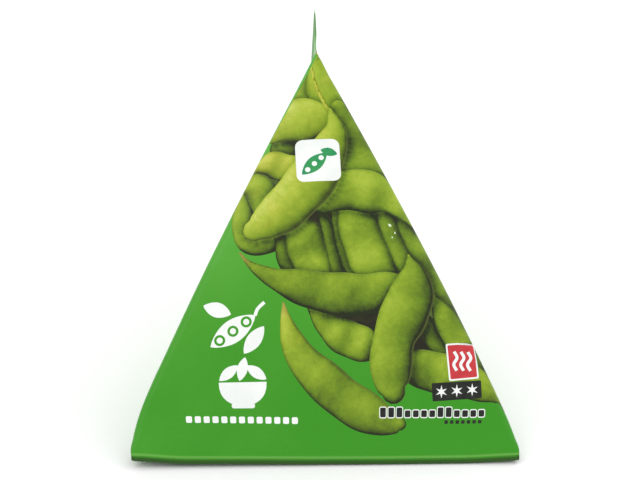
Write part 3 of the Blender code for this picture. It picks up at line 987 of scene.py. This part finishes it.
inks = [
    ground_finish(), pod_ink_finish(),
    plain_ink("heap_ink", (84, 106, 40), (58, 76, 24), 0.12),
    plain_ink("gap_ink", (22, 22, 8), (40, 40, 14), 0.25),
    plain_ink("white_ink", (246, 248, 246), (236, 241, 237), 0.08),
    plain_ink("red_ink", (205, 62, 66), (190, 48, 54), 0.3),
    plain_ink("dark_ink", (22, 24, 20), (40, 44, 34), 0.3),
    plain_ink("leaf_ink", (30, 140, 92), (60, 158, 84), 0.2),
    plain_ink("panel_ink", (226, 238, 214), (214, 230, 200), 0.05),
    plain_ink("rule_ink", (60, 120, 48), (78, 134, 62), 0.2),
]
crimped = crimp_finish()
for material in inks + [crimped]:
    film.data.materials.append(material)
ribs = film.modifiers.new("crimped_seals", "NODES")
ribs.node_group = crimp_tree(crimped)
made_plain(film)
print("film:", len(film.data.polygons), "faces,", len(film.data.materials), "finishes")

# %% [markdown]
# ## The back seam
# The web's two long edges are sealed together into a flat strip, which is folded against the base and
# shows when the pouch is picked up.

# %% A flat folded strip
SEAM_WIDTH, SEAM_THICK, SEAM_CLEARANCE = 0.010, 0.00032, 0.00004
seam_rows = np.linspace(0.028, PANEL * 0.80, 90)
seam_profile = [
    (-0.5, 0.2), (-0.42, 0.0), (0.42, 0.0), (0.5, 0.2), (0.5, 0.8), (0.42, 1.0), (-0.42, 1.0), (-0.5, 0.8),
]
work = bmesh.new()
loops = []
for row, along in enumerate(seam_rows):
    sway = 0.0003 * math.sin(row * 0.21)
    loops.append([
        work.verts.new((sway + x * SEAM_WIDTH, along + FRONT_LINE, SEAM_CLEARANCE + z * SEAM_THICK))
        for x, z in seam_profile
    ])
for near, far in zip(loops, loops[1:]):
    for a in range(len(seam_profile)):
        work.faces.new((near[a - 1], near[a], far[a], far[a - 1]))
work.faces.new(loops[0][::-1])
work.faces.new(loops[-1])
bmesh.ops.recalc_face_normals(work, faces=work.faces)
seam_mesh = bpy.data.meshes.new("back_seam")
work.to_mesh(seam_mesh)
work.free()
back_seam = added("back_seam", seam_mesh)
finish = Finish("seam_film")
streaks = finish.noise(finish.stretched(finish.object_place(), (700, 60, 1)), 1.0, 2)
ink = finish.mixed(streaks, colour(70, 142, 50), colour(92, 158, 74))
seam_mesh.materials.append(film_surface(finish, ink))
print("back seam:", round((seam_rows[-1] - seam_rows[0]) * 1000), "mm long")

# %% [markdown]
# ## The pods inside
# The pods inside only show if the pouch is opened. Each keeps its place in the frame. Its mesh is merged
# and rounded, and takes a skin with a fine down and darker veins.

# %% A downy pod skin
def pod_skin():
    finish = Finish("downy_pod_skin")
    place = finish.object_place()
    mottle = finish.noise(place, 180, 4, 0.6, 0.3)
    down = finish.noise(place, 2600, 2, 0.6)
    veins = finish.noise(finish.stretched(place, (1, 1, 2.4)), 420, 3, 0.55, 1.0)
    level = (mottle * 0.62 + (veins - 0.5) * 0.35 + (down - 0.5) * 0.20 + 0.15).clamped()
    return finish.surface(
        Base_Color=finish.ramp(level, POD_STOPS), Roughness=0.50 + down * 0.2,
        Normal=finish.bumps(veins * 0.6 + down * 0.4, 0.5, 0.0006), Sheen_Weight=0.15, Sheen_Roughness=0.5,
    )


skin = pod_skin()
pod_pieces = []
for name in sorted(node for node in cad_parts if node.startswith("pod_")):
    work = bmesh.new()
    work.from_mesh(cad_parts[name].data)
    bmesh.ops.remove_doubles(work, verts=work.verts, dist=1e-6)
    bmesh.ops.join_triangles(work, faces=work.faces, angle_face_threshold=0.7, angle_shape_threshold=0.7)
    for face in work.faces:
        face.smooth = True
    pod_mesh = bpy.data.meshes.new("downy_" + name)
    work.to_mesh(pod_mesh)
    work.free()
    pod = added("downy_" + name, pod_mesh)
    rounding = pod.modifiers.new("rounding", "SUBSURF")
    rounding.levels = rounding.render_levels = 2
    made_plain(pod)
    pod.data.materials.clear()
    pod.data.materials.append(skin)
    pod_pieces.append((pod, name))
print(len(pod_pieces), "pods,", sum(len(pod.data.polygons) for pod, _ in pod_pieces), "faces")

# %% [markdown]
# ## Joining the frame
# Each piece rides on the pouch's one body, and stands for the CAD solids that it replaces.

# %% Bodies and replaced nodes
for piece in (film, back_seam):
    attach(piece, "root")
    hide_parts("film_pouch")
for pod, name in pod_pieces:
    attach(pod, "root")
    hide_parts(name)

# %% [markdown]
# ## Table, light and camera
# The pouch stands on a plain pale table in even light, with the largest lamp at the upper left. The camera
# looks slightly down at the printed face through a long lens.

# %% Table
table_mesh = bpy.data.meshes.new("pale_table")
table_mesh.from_pydata([(-4, -4, 0), (4, -4, 0), (4, 4, 0), (-4, 4, 0)], [], [(0, 1, 2, 3)])
table = added("pale_table", table_mesh)
finish = Finish("pale_paper")
fibres = finish.noise(finish.object_place(), 300)
paper = finish.mixed(fibres, (0.95, 0.95, 0.95), (0.97, 0.97, 0.97))
table_mesh.materials.append(finish.surface(Base_Color=paper, Roughness=0.85))

# %% Light
world = bpy.data.worlds.new("studio")
world.use_nodes = True
sky = world.node_tree.nodes["Background"].inputs
sky["Color"].default_value, sky["Strength"].default_value = (1.0, 1.0, 1.0, 1), 1.0
scene.world = world
MIDDLE = Vector((0, FRONT_LINE + 0.06, 0.06))  # of the pouch


def soft_lamp(name, place, size, watts):
    lamp = bpy.data.lights.new(name, "AREA")
    lamp.shape, lamp.size, lamp.energy = "DISK", size, watts
    thing = added(name, lamp)
    thing.location = place
    thing.rotation_euler = (MIDDLE - Vector(place)).to_track_quat("-Z", "Y").to_euler()


soft_lamp("key_lamp", (-1.1, -0.8, 1.6), 1.4, 6)
soft_lamp("fill_lamp", (1.2, -0.6, 0.9), 1.2, 2)
soft_lamp("rear_lamp", (0.9, 1.0, 1.3), 1.2, 5)

# %% Camera
AZIMUTH, ELEVATION, ROLL = math.radians(-3.5), math.radians(23.84), math.radians(0.93)
DISTANCE, LENS = 1.0, 153.1
AIM = Vector((0, 0.045 + FRONT_LINE, 0.060))
SHIFT_UP, SHIFT_RIGHT = 0.00835, 0.00044
back_way = Vector((math.sin(AZIMUTH), -math.cos(AZIMUTH), 0)) * math.cos(ELEVATION)
back_way.z = math.sin(ELEVATION)
level_right = Vector((0, 0, 1)).cross(back_way).normalized()
level_up = back_way.cross(level_right)
right = level_right * math.cos(ROLL) + level_up * math.sin(ROLL)
up = level_up * math.cos(ROLL) - level_right * math.sin(ROLL)
camera = added("camera", bpy.data.cameras.new("camera"))
camera.data.lens, camera.data.sensor_width = LENS, 36
camera.data.clip_start, camera.data.clip_end = 0.05, 20
place = AIM + back_way * DISTANCE + up * SHIFT_UP + right * SHIFT_RIGHT
camera.matrix_world = Matrix.LocRotScale(place, Matrix((right, up, back_way)).transposed(), None)
scene.camera = camera
scene.view_settings.view_transform = "Standard"
print("camera at", [round(value, 3) for value in place])
